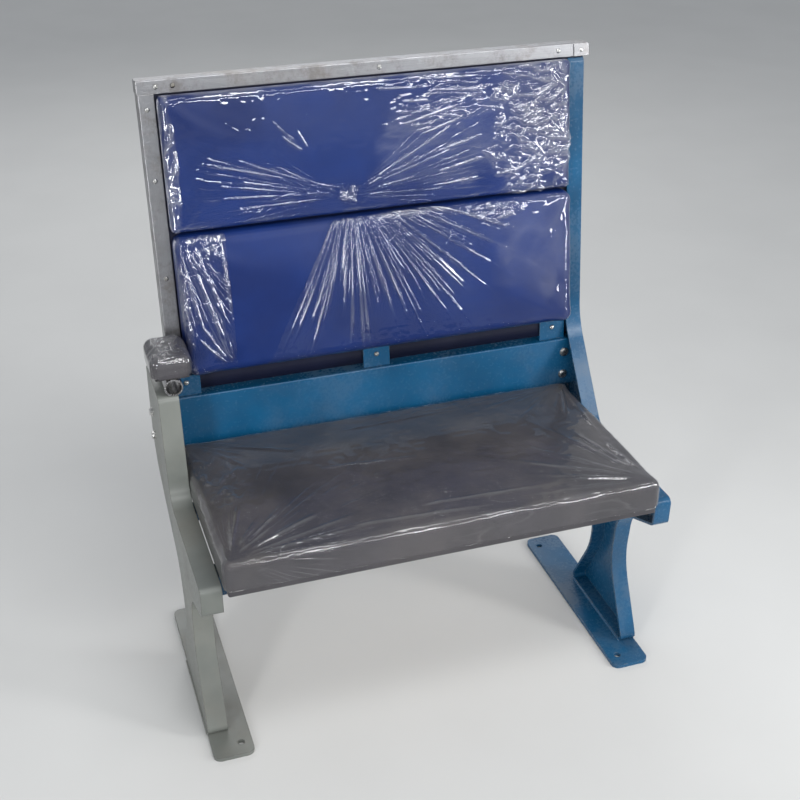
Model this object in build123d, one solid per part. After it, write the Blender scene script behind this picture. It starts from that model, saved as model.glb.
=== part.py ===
import os
from math import cos, radians, sin

from build123d import *

# Two-seat transverse bench of a railway passenger coach.
# Millimetres. The floor is Z = 0, a sitter faces -Y, the aisle is at -X and the window at +X.

# Overall sizes
bench_width = 850.0  # back frame, from the aisle trim's outside to the top trim's window end
back_top = 1120.0  # floor to the top of the back
seat_height = 445.0  # floor to the squab's top where it meets the back
seat_depth = 430.0  # back board's face to the squab's front
back_lean = 7.0  # degrees that the back leans from upright
seat_slope = 1.8  # degrees that the squab rises to its front

# Fits
fit_gap = 0.3  # clearance between pieces that seat on each other
pad_gap = 2.0  # reveal between a pad and the frame round it

# Back board, rear panel and their edge trims
board_thick = 24.0
rear_panel_thick = 9.0
board_bottom = 102.0  # along the slope, above the squab's level
trim_wall = 2.5
trim_round = 2.0
top_lip = 24.0
aisle_lip = 28.0
aisle_trim_bottom = 134.0  # along the slope
corner_tongue = 28.0
corner_plate = 2.0

# Back pads
upper_pad_thick = 30.0
upper_pad_round = 10.0
lower_pad_top_thick = 42.0
lower_pad_bottom_thick = 60.0
lower_pad_round = 15.0
pad_corner = 22.0
pad_split = 409.0  # along the slope, where the two pads meet
lower_pad_bottom = 141.0  # along the slope

# Squab and its pan
squab_thick = 60.0
squab_round = 15.0
squab_corner = 18.0
squab_back_gap = 2.5  # squab's back edge to the rear beam
squab_side_gap = 3.0  # squab's aisle edge inside the back frame's edge
pan_thick = 12.0
pan_margin = 6.0  # pan's edge inside the squab's edge

# Pressed end standards. Drops are below the squab's level, setbacks in front of the back's foot
plate = 5.0
aisle_depth = 38.0
window_depth = 32.0
window_inset = 8.0  # window standard's outside from the top trim's end
arm_front_setback = 92.0
arm_rear = 52.0  # behind the back's foot, as is heel_rear
heel_rear = 58.0
heel_drop = 45.0
heel_round = 110.0
belly_setback = 160.0
belly_drop = 170.0
belly_round = 80.0
waist_rear_setback = 190.0
waist_front_setback = 270.0
waist_drop = 280.0
waist_round = 150.0
spread_rear_setback = 105.0
spread_front_setback = 350.0
throat_setback = 285.0
throat_drop = 155.0
throat_round = 70.0
bearer_inset = 16.0  # behind the squab's front
bearer_drop = 58.0
nose_drop = 100.0
notch_setback = 118.0
notch_round = 40.0
rim_round = 12.0
upright_bend = 70.0  # along the slope
gusset_top = 130.0  # along the slope
upright_round = 150.0

# Cross members
beam_drop = 15.0  # beam's bottom below the squab's level
beam_height = 107.0
beam_depth = 40.0
beam_wall = 4.0
beam_round = 3.0
rail_leg = 40.0
rail_wall = 4.0
front_rail_inset = 70.0  # behind the squab's front
rear_rail_setback = 150.0
clip_width = 54.0
clip_wall = 4.0
clip_lip = 132.0  # along the slope

# Feet
foot_width = 76.0
foot_thick = 8.0
foot_length = 450.0
foot_rear = 45.0
foot_corner = 14.0
foot_hole_edge = 21.0  # hole's centre from the foot's inner edge
foot_hole_end = 30.0  # hole's centre from either end
foot_hole_radius = 6.5

# Aisle armrest
arm_tube_radius = 17.0
arm_tube_wall = 3.0
arm_tube_rise = 165.0  # tube's axis above the squab's level
arm_tube_inset = 7.0  # tube's axis outside the back frame's edge
arm_tube_length = 103.0
arm_tube_rear = 15.0
arm_saddle = 1.0
arm_plate_thick = 3.0
arm_plate_margin = 7.0
arm_overhang = 45.0  # pad past the back frame's edge, into the aisle
arm_inboard = 30.0  # pad over the seat
arm_pad_length = 108.0
arm_pad_rear = 14.0
arm_pad_thick = 42.0
arm_pad_round = 14.0
arm_pad_corner = 20.0

half = bench_width / 2
back_length = (back_top - seat_height) / cos(radians(back_lean))
back_depth = board_thick + rear_panel_thick
back_frame = Location((0, 0, seat_height), (-back_lean, 0, 0))
squab_frame = Location((0, 0, seat_height), (-seat_slope, 0, 0))
window_out = half - window_inset
window_in = window_out - window_depth
board_window = window_out - plate - fit_gap
pad_aisle = -half + aisle_lip + pad_gap
pad_window = window_in - pad_gap
squab_aisle = -half + squab_side_gap
aisle_out = -half - aisle_depth
cross_aisle = aisle_out + plate + fit_gap
cross_window = window_out - plate - fit_gap
pan_under = -squab_thick - pan_thick - 2 * fit_gap
beam_bottom = seat_height - beam_drop
beam_top = beam_bottom + beam_height
foot_front = foot_rear - foot_length
arm_tube_height = seat_height + arm_tube_rise
arm_tube_front = arm_tube_rear - arm_tube_length
arm_pad_front = arm_pad_rear - arm_pad_length


def block(low, high):
    """Box from its lowest corner to its highest."""
    size = [b - a for a, b in zip(low, high)]
    middle = [(a + b) / 2 for a, b in zip(low, high)]
    return Pos(*middle) * Box(*size)


def leaning(angle, y, z):
    """Y and Z on the floor's axes of a point in a frame tilted by angle at the squab's back."""
    tilt = radians(angle)
    return (y * cos(tilt) + z * sin(tilt), seat_height - y * sin(tilt) + z * cos(tilt))


def across(corners, low_x, high_x):
    """Solid with this Y and Z outline, from one X to another."""
    face = make_face(Polyline(*[(low_x, y, z) for y, z in corners], close=True))
    return extrude(face, amount=high_x - low_x, dir=(1, 0, 0))


def channel_trim(low_x, high_x, low_s, high_s, open_side):
    """Aluminium channel over an edge of the board: open_side is -X, +X or down the slope."""
    front = -fit_gap - trim_wall
    rear = back_depth + fit_gap + trim_wall
    outer = block((low_x, front, low_s), (high_x, rear, high_s))
    if open_side == "down":
        inner = block((low_x, -fit_gap, low_s), (high_x, rear - trim_wall, high_s - trim_wall))
        rounded = outer.edges().filter_by(Axis.X).group_by(Axis.Z)[-1]
    else:
        inner = block((low_x + trim_wall, -fit_gap, low_s), (high_x, rear - trim_wall, high_s))
        rounded = outer.edges().filter_by(Axis.Z).group_by(Axis.X)[0]
    return fillet(rounded, trim_round) - inner


def board():
    return block(
        (-half + trim_wall + fit_gap, 0, board_bottom),
        (board_window, board_thick, back_length - trim_wall - fit_gap),
    )


def rear_panel():
    return block(
        (-half + trim_wall + fit_gap, board_thick, board_bottom),
        (board_window, back_depth, back_length - trim_wall - fit_gap),
    )


def top_trim():
    return channel_trim(-half, half, back_length - top_lip, back_length, "down")


def aisle_trim():
    return channel_trim(-half, -half + aisle_lip, aisle_trim_bottom, back_length - top_lip, "in")


def window_corner():
    """Cap in the window end of the top trim, with a tongue down the front of the channel."""
    plug = block(
        (board_window + fit_gap, 0, back_length - top_lip + fit_gap),
        (half, back_depth, back_length - trim_wall - fit_gap),
    )
    face = -fit_gap - trim_wall
    tongue = block(
        (half - corner_tongue, face - corner_plate, back_length - top_lip),
        (half, face, back_length - trim_round),
    )
    side = block(
        (half, face - corner_plate, back_length - top_lip),
        (half + corner_plate, back_depth + fit_gap + trim_wall, back_length - trim_round),
    )
    return plug + tongue + side


def upper_pad():
    """Flat pad between the trims, rounded to the front."""
    pad = block(
        (pad_aisle, -upper_pad_thick, pad_split + pad_gap / 2),
        (pad_window, -fit_gap, back_length - top_lip - pad_gap),
    )
    pad = fillet(pad.edges().filter_by(Axis.Y), upper_pad_round)
    return fillet(pad.faces().sort_by(Axis.Y)[0].edges(), upper_pad_round)


def lower_pad():
    """Thicker lumbar pad, deeper at its foot."""
    top = pad_split - pad_gap / 2
    side = [
        (-fit_gap, lower_pad_bottom),
        (-lower_pad_bottom_thick, lower_pad_bottom),
        (-lower_pad_top_thick, top),
        (-fit_gap, top),
    ]
    pad = across(side, pad_aisle, pad_window)
    pad = fillet(pad.edges().filter_by(Axis.Y), pad_corner)
    return fillet(pad.faces().sort_by(Axis.Y)[0].edges(), lower_pad_round)


def squab():
    pad = block((squab_aisle, -seat_depth, -squab_thick), (pad_window, -squab_back_gap, 0))
    pad = fillet(pad.edges().filter_by(Axis.Z), squab_corner)
    return fillet(pad.faces().sort_by(Axis.Z)[-1].edges(), squab_round)


def squab_pan():
    top = -squab_thick - fit_gap
    return block(
        (squab_aisle + pan_margin, -seat_depth + pan_margin, top - pan_thick),
        (pad_window - pan_margin, -squab_back_gap, top),
    )


def angle_rail(at, leg_at_front):
    """Steel angle across the bench, flat leg under the pan and one leg down."""
    flat = block((cross_aisle, at, pan_under - rail_wall), (cross_window, at + rail_leg, pan_under))
    down_at = at if leg_at_front else at + rail_leg - rail_wall
    down = block(
        (cross_aisle, down_at, pan_under - rail_leg),
        (cross_window, down_at + rail_wall, pan_under),
    )
    return flat + down


def rear_beam():
    """Pressed channel behind the squab, its web to the front."""
    outer = block((cross_aisle, 0, beam_bottom), (cross_window, beam_depth, beam_top))
    outer = fillet(outer.edges().filter_by(Axis.X).group_by(Axis.Y)[0], beam_round)
    inner = block(
        (cross_aisle, beam_wall, beam_bottom + beam_wall),
        (cross_window, beam_depth, beam_top - beam_wall),
    )
    return outer - inner


def back_clip(middle):
    """Saddle on the rear beam that grips the board's bottom edge."""
    front = -fit_gap - clip_wall
    rear = back_depth + fit_gap + clip_wall
    corners = [
        (leaning(back_lean, front, board_bottom)[0], beam_top),
        (leaning(back_lean, rear, board_bottom)[0], beam_top),
        leaning(back_lean, rear, clip_lip),
        leaning(back_lean, front, clip_lip),
    ]
    clip = across(corners, middle - clip_width / 2, middle + clip_width / 2)
    slot = block((-half, -fit_gap, board_bottom), (half, back_depth + fit_gap, 2 * clip_lip))
    return clip - back_frame * slot


# Side view of a standard below its arm, from behind the arm round the foot to the seat bearer.
# Columns: Y, Z, corner radius.
standard_foot = [
    (heel_rear, seat_height - heel_drop, heel_round),
    (-belly_setback, seat_height - belly_drop, belly_round),
    (-waist_rear_setback, seat_height - waist_drop, waist_round),
    (-spread_rear_setback, foot_thick, rim_round),
    (-spread_front_setback, foot_thick, rim_round),
    (-waist_front_setback, seat_height - waist_drop, waist_round),
    (-throat_setback, seat_height - throat_drop, throat_round),
    (bearer_inset - seat_depth, seat_height - nose_drop, rim_round),
    (*leaning(seat_slope, bearer_inset - seat_depth, -bearer_drop), rim_round),
    (*leaning(seat_slope, -notch_setback, -bearer_drop), notch_round),
]


def pressed_tray(corners, low_x, depth, web_at_low):
    """Plate with a rim all round, like a shallow tray on its side."""
    points = [(y, z) for y, z, radius in corners]
    radii = [radius for y, z, radius in corners]
    outline = Plane.YZ * make_face(FilletPolyline(*points, radius=radii, close=True))
    solid = extrude(Pos(low_x, 0, 0) * outline, amount=depth)
    hollow = offset(outline, amount=-plate)
    start = low_x + plate if web_at_low else low_x
    return solid - extrude(Pos(start, 0, 0) * hollow, amount=depth - plate)


def aisle_standard():
    arm_top = arm_tube_height - arm_tube_radius + arm_saddle
    corners = [
        (arm_rear, arm_top, rim_round),
        *standard_foot,
        (-arm_front_setback, arm_top, rim_round),
    ]
    tray = pressed_tray(corners, aisle_out, aisle_depth, True)
    saddle = arm_tube_place() * Cylinder(arm_tube_radius + fit_gap, seat_depth)
    return tray - saddle


def window_standard():
    """Runs up the back as a channel that holds the board's window edge."""
    front = -fit_gap - plate
    rear = back_depth + fit_gap + plate
    top = back_length - top_lip - fit_gap
    corners = [
        (*leaning(back_lean, rear, top), rim_round),
        (*leaning(back_lean, rear, upright_bend), upright_round),
        *standard_foot,
        (*leaning(back_lean, front, gusset_top), upright_round),
        (*leaning(back_lean, front, top), rim_round),
    ]
    tray = pressed_tray(corners, window_in, window_depth, False)
    slot = block(
        (window_in, -fit_gap, board_bottom - fit_gap),
        (window_out - plate, back_depth + fit_gap, back_length),
    )
    return tray - back_frame * slot


def foot(inner_x, outer_x):
    """Floor plate under a standard, with two bolt holes beside it."""
    low_x = min(inner_x, outer_x)
    high_x = max(inner_x, outer_x)
    shape = block((low_x, foot_front, 0), (high_x, foot_rear, foot_thick))
    shape = fillet(shape.edges().filter_by(Axis.Z), foot_corner)
    hole_x = inner_x + (foot_hole_edge if outer_x > inner_x else -foot_hole_edge)
    for hole_y in (foot_front + foot_hole_end, foot_rear - foot_hole_end):
        shape -= Pos(hole_x, hole_y, 0) * Cylinder(foot_hole_radius, 4 * foot_thick)
    return shape


def arm_tube_place():
    middle = (arm_tube_front + arm_tube_rear) / 2
    return Location((-half - arm_tube_inset, middle, arm_tube_height), (90, 0, 0))


def arm_tube():
    length = arm_tube_rear - arm_tube_front
    outer = Cylinder(arm_tube_radius, length)
    inner = Cylinder(arm_tube_radius - arm_tube_wall, length)
    return arm_tube_place() * (outer - inner)


def arm_plate():
    low = arm_tube_height + arm_tube_radius + fit_gap
    return block(
        (-half - arm_overhang + arm_plate_margin, arm_pad_front + arm_plate_margin, low),
        (-half + arm_inboard - arm_plate_margin, arm_pad_rear - arm_plate_margin, low + arm_plate_thick),
    )


def arm_pad():
    low = arm_tube_height + arm_tube_radius + arm_plate_thick + 2 * fit_gap
    pad = block(
        (-half - arm_overhang, arm_pad_front, low),
        (-half + arm_inboard, arm_pad_rear, low + arm_pad_thick),
    )
    pad = fillet(pad.edges().filter_by(Axis.Z), arm_pad_corner)
    return fillet(pad.faces().sort_by(Axis.Z)[-1].edges(), arm_pad_round)


pieces = {
    "back_board": back_frame * board(),
    "rear_panel": back_frame * rear_panel(),
    "top_trim": back_frame * top_trim(),
    "aisle_trim": back_frame * aisle_trim(),
    "window_corner": back_frame * window_corner(),
    "upper_pad": back_frame * upper_pad(),
    "lower_pad": back_frame * lower_pad(),
    "squab": squab_frame * squab(),
    "squab_pan": squab_frame * squab_pan(),
    "front_rail": squab_frame * angle_rail(front_rail_inset - seat_depth, True),
    "rear_rail": squab_frame * angle_rail(-rear_rail_setback, False),
    "rear_beam": rear_beam(),
    "aisle_standard": aisle_standard(),
    "window_standard": window_standard(),
    "aisle_foot": foot(aisle_out + foot_width, aisle_out),
    "window_foot": foot(window_out - foot_width, window_out),
    "arm_tube": arm_tube(),
    "arm_plate": arm_plate(),
    "arm_pad": arm_pad(),
}

# Clips along the board's bottom edge, from the aisle to the window
first_clip = -half + pad_gap + clip_width / 2
last_clip = window_in - pad_gap - clip_width / 2
for name, share in (("aisle", 0.0), ("middle", 0.5), ("window", 1.0)):
    pieces[f"{name}_clip"] = back_clip(first_clip + share * (last_clip - first_clip))

# The part's origin is the middle of its footprint, on the floor
whole = Compound(children=[Compound(piece.wrapped) for piece in pieces.values()]).bounding_box()
to_origin = Pos(-whole.center().X, -whole.center().Y, 0)

os.makedirs("parts", exist_ok=True)
for name, piece in pieces.items():
    export_step(to_origin * piece, f"parts/{name}.step")
print("moved by", to_origin.position, "size", whole.size)
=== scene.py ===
from math import cos, pi, radians, sin, tau

import bpy
import numpy as np
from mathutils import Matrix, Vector


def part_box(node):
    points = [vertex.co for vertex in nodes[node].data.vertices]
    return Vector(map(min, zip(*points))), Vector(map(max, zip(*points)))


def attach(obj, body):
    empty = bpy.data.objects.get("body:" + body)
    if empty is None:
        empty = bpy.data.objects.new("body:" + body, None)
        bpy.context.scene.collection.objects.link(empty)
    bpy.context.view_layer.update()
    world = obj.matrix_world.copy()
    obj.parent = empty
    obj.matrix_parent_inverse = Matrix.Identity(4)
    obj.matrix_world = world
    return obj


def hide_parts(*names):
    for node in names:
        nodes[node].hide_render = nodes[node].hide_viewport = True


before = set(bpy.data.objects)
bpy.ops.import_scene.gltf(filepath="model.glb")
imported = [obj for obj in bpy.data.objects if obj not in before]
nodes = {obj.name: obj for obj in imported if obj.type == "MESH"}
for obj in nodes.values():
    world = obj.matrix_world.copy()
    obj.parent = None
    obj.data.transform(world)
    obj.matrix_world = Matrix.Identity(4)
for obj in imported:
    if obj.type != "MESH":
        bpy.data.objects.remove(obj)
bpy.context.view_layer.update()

# Two-seat bench of a railway coach, new and still in its clear wrapping film.
# Metres. A sitter faces -Y, the aisle is at -X, the window at +X.
bench = {
    "seatHeight": 0.445,      # where the squab's top meets the back
    "aisleEdge": 0.425,       # back frame's aisle edge from the bench's middle
    "backLean": radians(7.0),
    "seatSlope": radians(1.8),
}
lean, seatSlope = bench["backLean"], bench["seatSlope"]
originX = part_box("aisle_trim")[0].x + bench["aisleEdge"]
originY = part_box("rear_beam")[0].y
print("frame loaded,", len(nodes), "CAD nodes")


# Frames and meshes

def readAll(items, key="co"):
    # one vector for each item of a mesh, as the rows of an array
    values = np.empty(len(items) * 3)
    items.foreach_get(key, values)
    return values.reshape(-1, 3)


def readNormals(mesh):
    return readAll(mesh.vertex_normals, "vector")


def writePoints(mesh, points):
    mesh.vertices.foreach_set("co", np.asarray(points, float).ravel())
    mesh.update()


def toRow(points, tilt):
    # points on a tilted plane's axes (across, behind it, up the slope), turned and moved to the row frame
    x, y, z = points[..., 0], points[..., 1], points[..., 2]
    return np.stack((x + originX, y * cos(tilt) + z * sin(tilt) + originY,
                     bench["seatHeight"] - y * sin(tilt) + z * cos(tilt)), -1)


def tiltedBox(node, tilt):
    # lowest and highest corner of a CAD node on the tilted plane's axes
    x, y, z = (readAll(nodes[node].data.vertices) - (originX, originY, bench["seatHeight"])).T
    turned = np.stack((x, y * cos(tilt) - z * sin(tilt), y * sin(tilt) + z * cos(tilt)), -1)
    return turned.min(0), turned.max(0)


def gridFaces(rows, columns, wrap=False):
    # quads between neighbouring rows and columns, the last column joined to the first where it wraps
    row = np.arange(rows - 1)[:, None] * columns
    column = np.arange(columns if wrap else columns - 1)[None, :]
    beside = (column + 1) % columns
    corners = (row + column, row + beside, row + columns + beside, row + columns + column)
    return np.stack(corners, -1).reshape(-1, 4)


def meshObject(name, points, quads, triangles=(), flat=None):
    # whole arrays into one mesh; flat is each point's place on the cut sheet, kept as the UV map
    points = np.asarray(points, float).reshape(-1, 3)
    triangles = np.asarray(triangles, int).reshape(-1, 3)
    mesh = bpy.data.meshes.new(name)
    mesh.vertices.add(len(points))
    mesh.vertices.foreach_set("co", points.ravel())
    corners = np.concatenate((quads.ravel(), triangles.ravel())).astype(np.int32)
    starts = np.concatenate((np.arange(len(quads)) * 4, quads.size + np.arange(len(triangles)) * 3))
    mesh.loops.add(len(corners))
    mesh.loops.foreach_set("vertex_index", corners)
    mesh.polygons.add(len(starts))
    mesh.polygons.foreach_set("loop_start", starts.astype(np.int32))
    mesh.update(calc_edges=True)
    mesh.validate()
    if flat is not None:
        layer = mesh.uv_layers.new(name="flat")
        layer.uv.foreach_set("vector", np.asarray(flat, float).reshape(-1, 2)[corners].ravel())
    piece = bpy.data.objects.new(name, mesh)
    bpy.context.scene.collection.objects.link(piece)
    return piece


def shellParts(grid):
    # points, quads and triangles of a closed surface: each row of the grid is a ring, and a fan closes
    # each end ring on its middle
    rows, columns = grid.shape[:2]
    around = np.arange(columns)
    beside = (around + 1) % columns
    tip, last = np.full(columns, rows * columns), (rows - 1) * columns
    fans = np.stack((beside, around, tip), -1), np.stack((last + around, last + beside, tip + 1), -1)
    points = np.concatenate((grid.reshape(-1, 3), grid[0].mean(0)[None], grid[-1].mean(0)[None]))
    return points, gridFaces(rows, columns, True), np.concatenate(fans)


def shell(name, grid):
    return outward(meshObject(name, *shellParts(grid)))


def copies(name, every, quads, triangles):
    # several of one closed form as one mesh, from a row of points for each
    shift = (np.arange(len(every)) * every.shape[1])[:, None, None]
    return outward(meshObject(name, every, (quads + shift).reshape(-1, 4),
                              (triangles + shift).reshape(-1, 3)))


def outward(piece):
    # turns a closed shell's faces out if its volume comes out negative
    mesh = piece.data
    mesh.calc_loop_triangles()
    corner = np.empty(len(mesh.loop_triangles) * 3, np.int32)
    mesh.loop_triangles.foreach_get("vertices", corner)
    a, b, c = readAll(mesh.vertices)[corner].reshape(-1, 3, 3).transpose(1, 0, 2)
    if (a * np.cross(b, c)).sum() < 0:
        mesh.flip_normals()
    return piece


def applyAll(piece):
    # puts the modifiers' result into the mesh and takes them off
    done = bpy.data.meshes.new_from_object(piece.evaluated_get(bpy.context.evaluated_depsgraph_get()))
    old = piece.data
    piece.modifiers.clear()
    piece.data = done
    done.name = piece.name
    bpy.data.meshes.remove(old)


def settle(piece, material, sharp=None):
    # finishes a piece: smooth faces, its material, riding on the one body
    piece.data.polygons.foreach_set("use_smooth", [True] * len(piece.data.polygons))
    if sharp is not None:
        piece.data.set_sharp_from_angle(angle=radians(sharp))
    piece.data.materials.clear()
    piece.data.materials.append(material)
    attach(piece, "root")


def smoothStep(low, high, value):
    # 0 below low, 1 above high, with no corner at either
    t = np.clip((value - low) / (high - low), 0, 1)
    return t * t * (3 - 2 * t)


def softNoise(x, y, size, seed):
    # value noise: a random lattice of the given cell size, read with smooth weights, from -1 to 1
    table = np.random.default_rng(seed).uniform(-1, 1, (256, 256))
    u, v = x / size + 1000, y / size + 1000
    i, j = np.floor(u).astype(int), np.floor(v).astype(int)
    fu, fv = u - i, v - j
    fu, fv = fu * fu * (3 - 2 * fu), fv * fv * (3 - 2 * fv)
    near = table[i % 256, j % 256] * (1 - fu) + table[(i + 1) % 256, j % 256] * fu
    far = table[i % 256, (j + 1) % 256] * (1 - fu) + table[(i + 1) % 256, (j + 1) % 256] * fu
    return near * (1 - fv) + far * fv


def turnedNoise(x, y, angle, size, seed):
    # the same noise with its lattice turned, so that no line of it runs along the sheet
    return softNoise(x * cos(angle) - y * sin(angle), x * sin(angle) + y * cos(angle), size, seed)


# Shader groups

class Graph:
    # a node tree with short names for its usual nodes; a value that is a socket is linked, any other is set
    def __init__(self, tree):
        self.tree = tree

    def put(self, socket, value):
        if isinstance(value, bpy.types.NodeSocket):
            self.tree.links.new(value, socket)
        else:
            socket.default_value = value

    def add(self, kind, values=None, **settings):
        node = self.tree.nodes.new("ShaderNode" + kind)
        for key, value in settings.items():
            setattr(node, key, value)
        for key, value in (values or {}).items():
            self.put(node.inputs[key], value)
        return node

    def math(self, operation, *values):
        return self.add("Math", dict(enumerate(values)), operation=operation).outputs[0]

    def plus(self, total, *others):
        for other in others:
            total = self.math("ADD", total, other)
        return total

    def times(self, product, *others):
        for other in others:
            product = self.math("MULTIPLY", product, other)
        return product

    def minus(self, first, second):
        return self.math("SUBTRACT", first, second)

    def vector(self, operation, *values, output="Vector"):
        return self.add("VectorMath", dict(enumerate(values)), operation=operation).outputs[output]

    def parts(self, vector):
        return self.add("SeparateXYZ", {0: vector}).outputs

    def ramp(self, value, low, high, outLow=0.0, outHigh=1.0):
        inputs = {"Value": value, "From Min": low, "From Max": high, "To Min": outLow, "To Max": outHigh}
        return self.add("MapRange", inputs, interpolation_type="SMOOTHSTEP").outputs["Result"]

    def mix(self, factor, first, second):
        values = {0: factor, 6: first, 7: second}
        return self.add("Mix", values, data_type="RGBA").outputs[2]

    def noise(self, place, scale, detail, rough=0.5, output="Fac"):
        values = {"Vector": place, "Scale": scale, "Detail": detail, "Roughness": rough}
        return self.add("TexNoise", values).outputs[output]

    def edges(self, place, scale):
        # how far it is to the nearest border between Voronoi cells
        node = self.add("TexVoronoi", {"Vector": place, "Scale": scale}, feature="DISTANCE_TO_EDGE")
        return node.outputs["Distance"]

    def bump(self, height, distance, strength, normal=None):
        values = {"Height": height, "Distance": distance, "Strength": strength}
        if normal:
            values["Normal"] = normal
        return self.add("Bump", values).outputs[0]


def newGroup(name, inputs):
    # a shader group that takes a place and further numbers or vectors, each with its usual value
    g = Graph(bpy.data.node_groups.new(name, "ShaderNodeTree"))
    for label, value in {"Vector": (0.0, 0.0, 0.0), **inputs}.items():
        kind = "NodeSocketFloat" if isinstance(value, float) else "NodeSocketVector"
        g.tree.interface.new_socket(label, in_out="INPUT", socket_type=kind).default_value = value
    given = g.tree.nodes.new("NodeGroupInput").outputs
    return g, given, given["Vector"]


def closeGroup(g, values):
    # gives the group its outputs: numbers, and a vector for a normal
    for label in values:
        kind = "NodeSocketVector" if label == "Normal" else "NodeSocketFloat"
        g.tree.interface.new_socket(label, in_out="OUTPUT", socket_type=kind)
    made = g.tree.nodes.new("NodeGroupOutput").inputs
    for label, value in values.items():
        g.put(made[label], value)
    return g.tree


def grainGroup():
    # moulded vinyl grain: small rounded cells with creases between them, and a slow unevenness under it
    g, given, place = newGroup("vinylGrain", {"Cell": 700.0})
    shift = g.vector("SUBTRACT", g.noise(place, 260.0, 2.0, output="Color"), (0.5, 0.5, 0.5))
    shift = g.add("VectorMath", {0: shift, "Scale": 0.0012}, operation="SCALE").outputs[0]
    crease = g.ramp(g.edges(g.vector("ADD", place, shift), given["Cell"]), 0.0, 0.16, 1.0, 0.0)
    height = g.minus(g.times(g.noise(place, 14.0, 3.0), 0.6), g.times(crease, 0.5))
    return closeGroup(g, {"Height": height, "Crease": crease})


def wearGroup():
    # worn edges: where a small bevel turns the normal, broken up by noise; also gives the bevelled normal
    g, given, place = newGroup("edgeWear", {"Radius": 0.0015, "Amount": 0.5, "Scale": 60.0})
    bevel = g.add("Bevel", {"Radius": given["Radius"]}, samples=4).outputs[0]
    face = g.add("NewGeometry").outputs["Normal"]
    edge = g.ramp(g.vector("DOT_PRODUCT", bevel, face, output="Value"), 0.72, 0.985, 1.0, 0.0)
    level = g.times(g.minus(1.0, given["Amount"]), 0.75)
    kept = g.math("GREATER_THAN", g.noise(place, given["Scale"], 6.0, 0.65), level)
    return closeGroup(g, {"Mask": g.times(edge, kept), "Normal": bevel})


def dustGroup():
    # dust and handling marks: big soft patches times fine speckle, thicker on faces that look up
    g, given, place = newGroup("dustMarks", {"Amount": 0.4})
    up = g.parts(g.add("NewGeometry").outputs["Normal"])["Z"]
    mask = g.times(g.ramp(g.noise(place, 5.0, 5.0, 0.6), 0.42, 0.72), g.ramp(up, -0.2, 0.9, 0.35, 1.0),
                   g.ramp(g.noise(place, 420.0, 2.0), 0.3, 0.7, 0.7, 1.0), given["Amount"])
    return closeGroup(g, {"Mask": mask})


def drawGroup():
    # draw lines of an extrusion or turned bar: noise stretched a hundredfold, with stains and scratches
    g, given, place = newGroup("drawLines", {"Across": (4.0, 500.0, 500.0)})
    line = g.noise(g.vector("MULTIPLY", place, given["Across"]), 1.0, 4.0, 0.7)
    bent = g.vector("ADD", g.noise(place, 9.0, 2.0, output="Color"), place)
    scratch = g.ramp(g.edges(bent, 13.0), 0.0, 0.012, 1.0, 0.0)
    return closeGroup(g, {"Line": line, "Stain": g.noise(place, 22.0, 6.0, 0.68), "Scratch": scratch})


def creaseGroup():
    # film creases, on the flat sheet in metres: straight rays from a centre that fade in and out, and wisps
    g, given, place = newGroup("filmCreases", {
        "Centre": (0.0, 0.0, 0.0), "Rays": 14.0, "Reach": 0.3, "Wisps": (9.0, 60.0, 0.0), "Level": 0.0,
    })
    away = g.vector("SUBTRACT", place, given["Centre"])
    angle = g.math("ARCTAN2", g.parts(away)["Y"], g.parts(away)["X"])
    far = g.vector("LENGTH", away, output="Value")
    sway = g.add("TexNoise", {"W": g.times(far, 14.0), "Scale": 1.0}, noise_dimensions="1D").outputs["Fac"]
    turn = g.math("MULTIPLY_ADD", angle, given["Rays"], g.times(sway, 0.5))
    rays = g.add("TexVoronoi", {"W": turn, "Scale": 1.0}, voronoi_dimensions="1D",
                 feature="DISTANCE_TO_EDGE").outputs["Distance"]
    gate = g.add("CombineXYZ", {"X": g.times(angle, 5.0), "Y": g.times(far, 9.0), "Z": 3.7}).outputs[0]
    spell = g.noise(gate, 1.0, 1.0)
    steep = g.ramp(g.math("ABSOLUTE", g.math("SINE", angle)), 0.4, 0.75)
    fade = g.times(g.ramp(far, 0.1, given["Reach"], 1.0, 0.0), g.ramp(far, 0.02, 0.1),
                   g.ramp(spell, 0.42, 0.6), g.minus(1.0, g.times(steep, given["Level"])))
    ray = g.times(g.ramp(rays, 0.0, 0.13, 1.0, 0.0), fade)
    wisps = g.noise(g.vector("MULTIPLY", place, given["Wisps"]), 1.0, 1.0)
    wisp = g.times(g.ramp(g.math("ABSOLUTE", g.minus(wisps, 0.5)), 0.0, 0.03, 1.0, 0.0),
                   g.ramp(spell, 0.5, 0.7, 0.0, 0.6))
    tall = g.times(ray, g.math("MINIMUM", g.times(far, 6.0), 1.0))
    return closeGroup(g, {"Height": g.plus(tall, g.times(wisp, 0.12)),
                          "Line": g.math("MAXIMUM", ray, wisp)})


groups = {
    "grain": grainGroup(), "wear": wearGroup(), "dust": dustGroup(), "draw": drawGroup(),
    "crease": creaseGroup(),
}
print("shader groups made")


# Materials

def linear(red, green, blue):
    # a colour as a screen shows it, 0 to 255, in the shader's linear values
    screen = np.array((red, green, blue)) / 255
    values = np.where(screen <= 0.04045, screen / 12.92, ((screen + 0.055) / 1.055) ** 2.4)
    return (*values.tolist(), 1.0)


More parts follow.
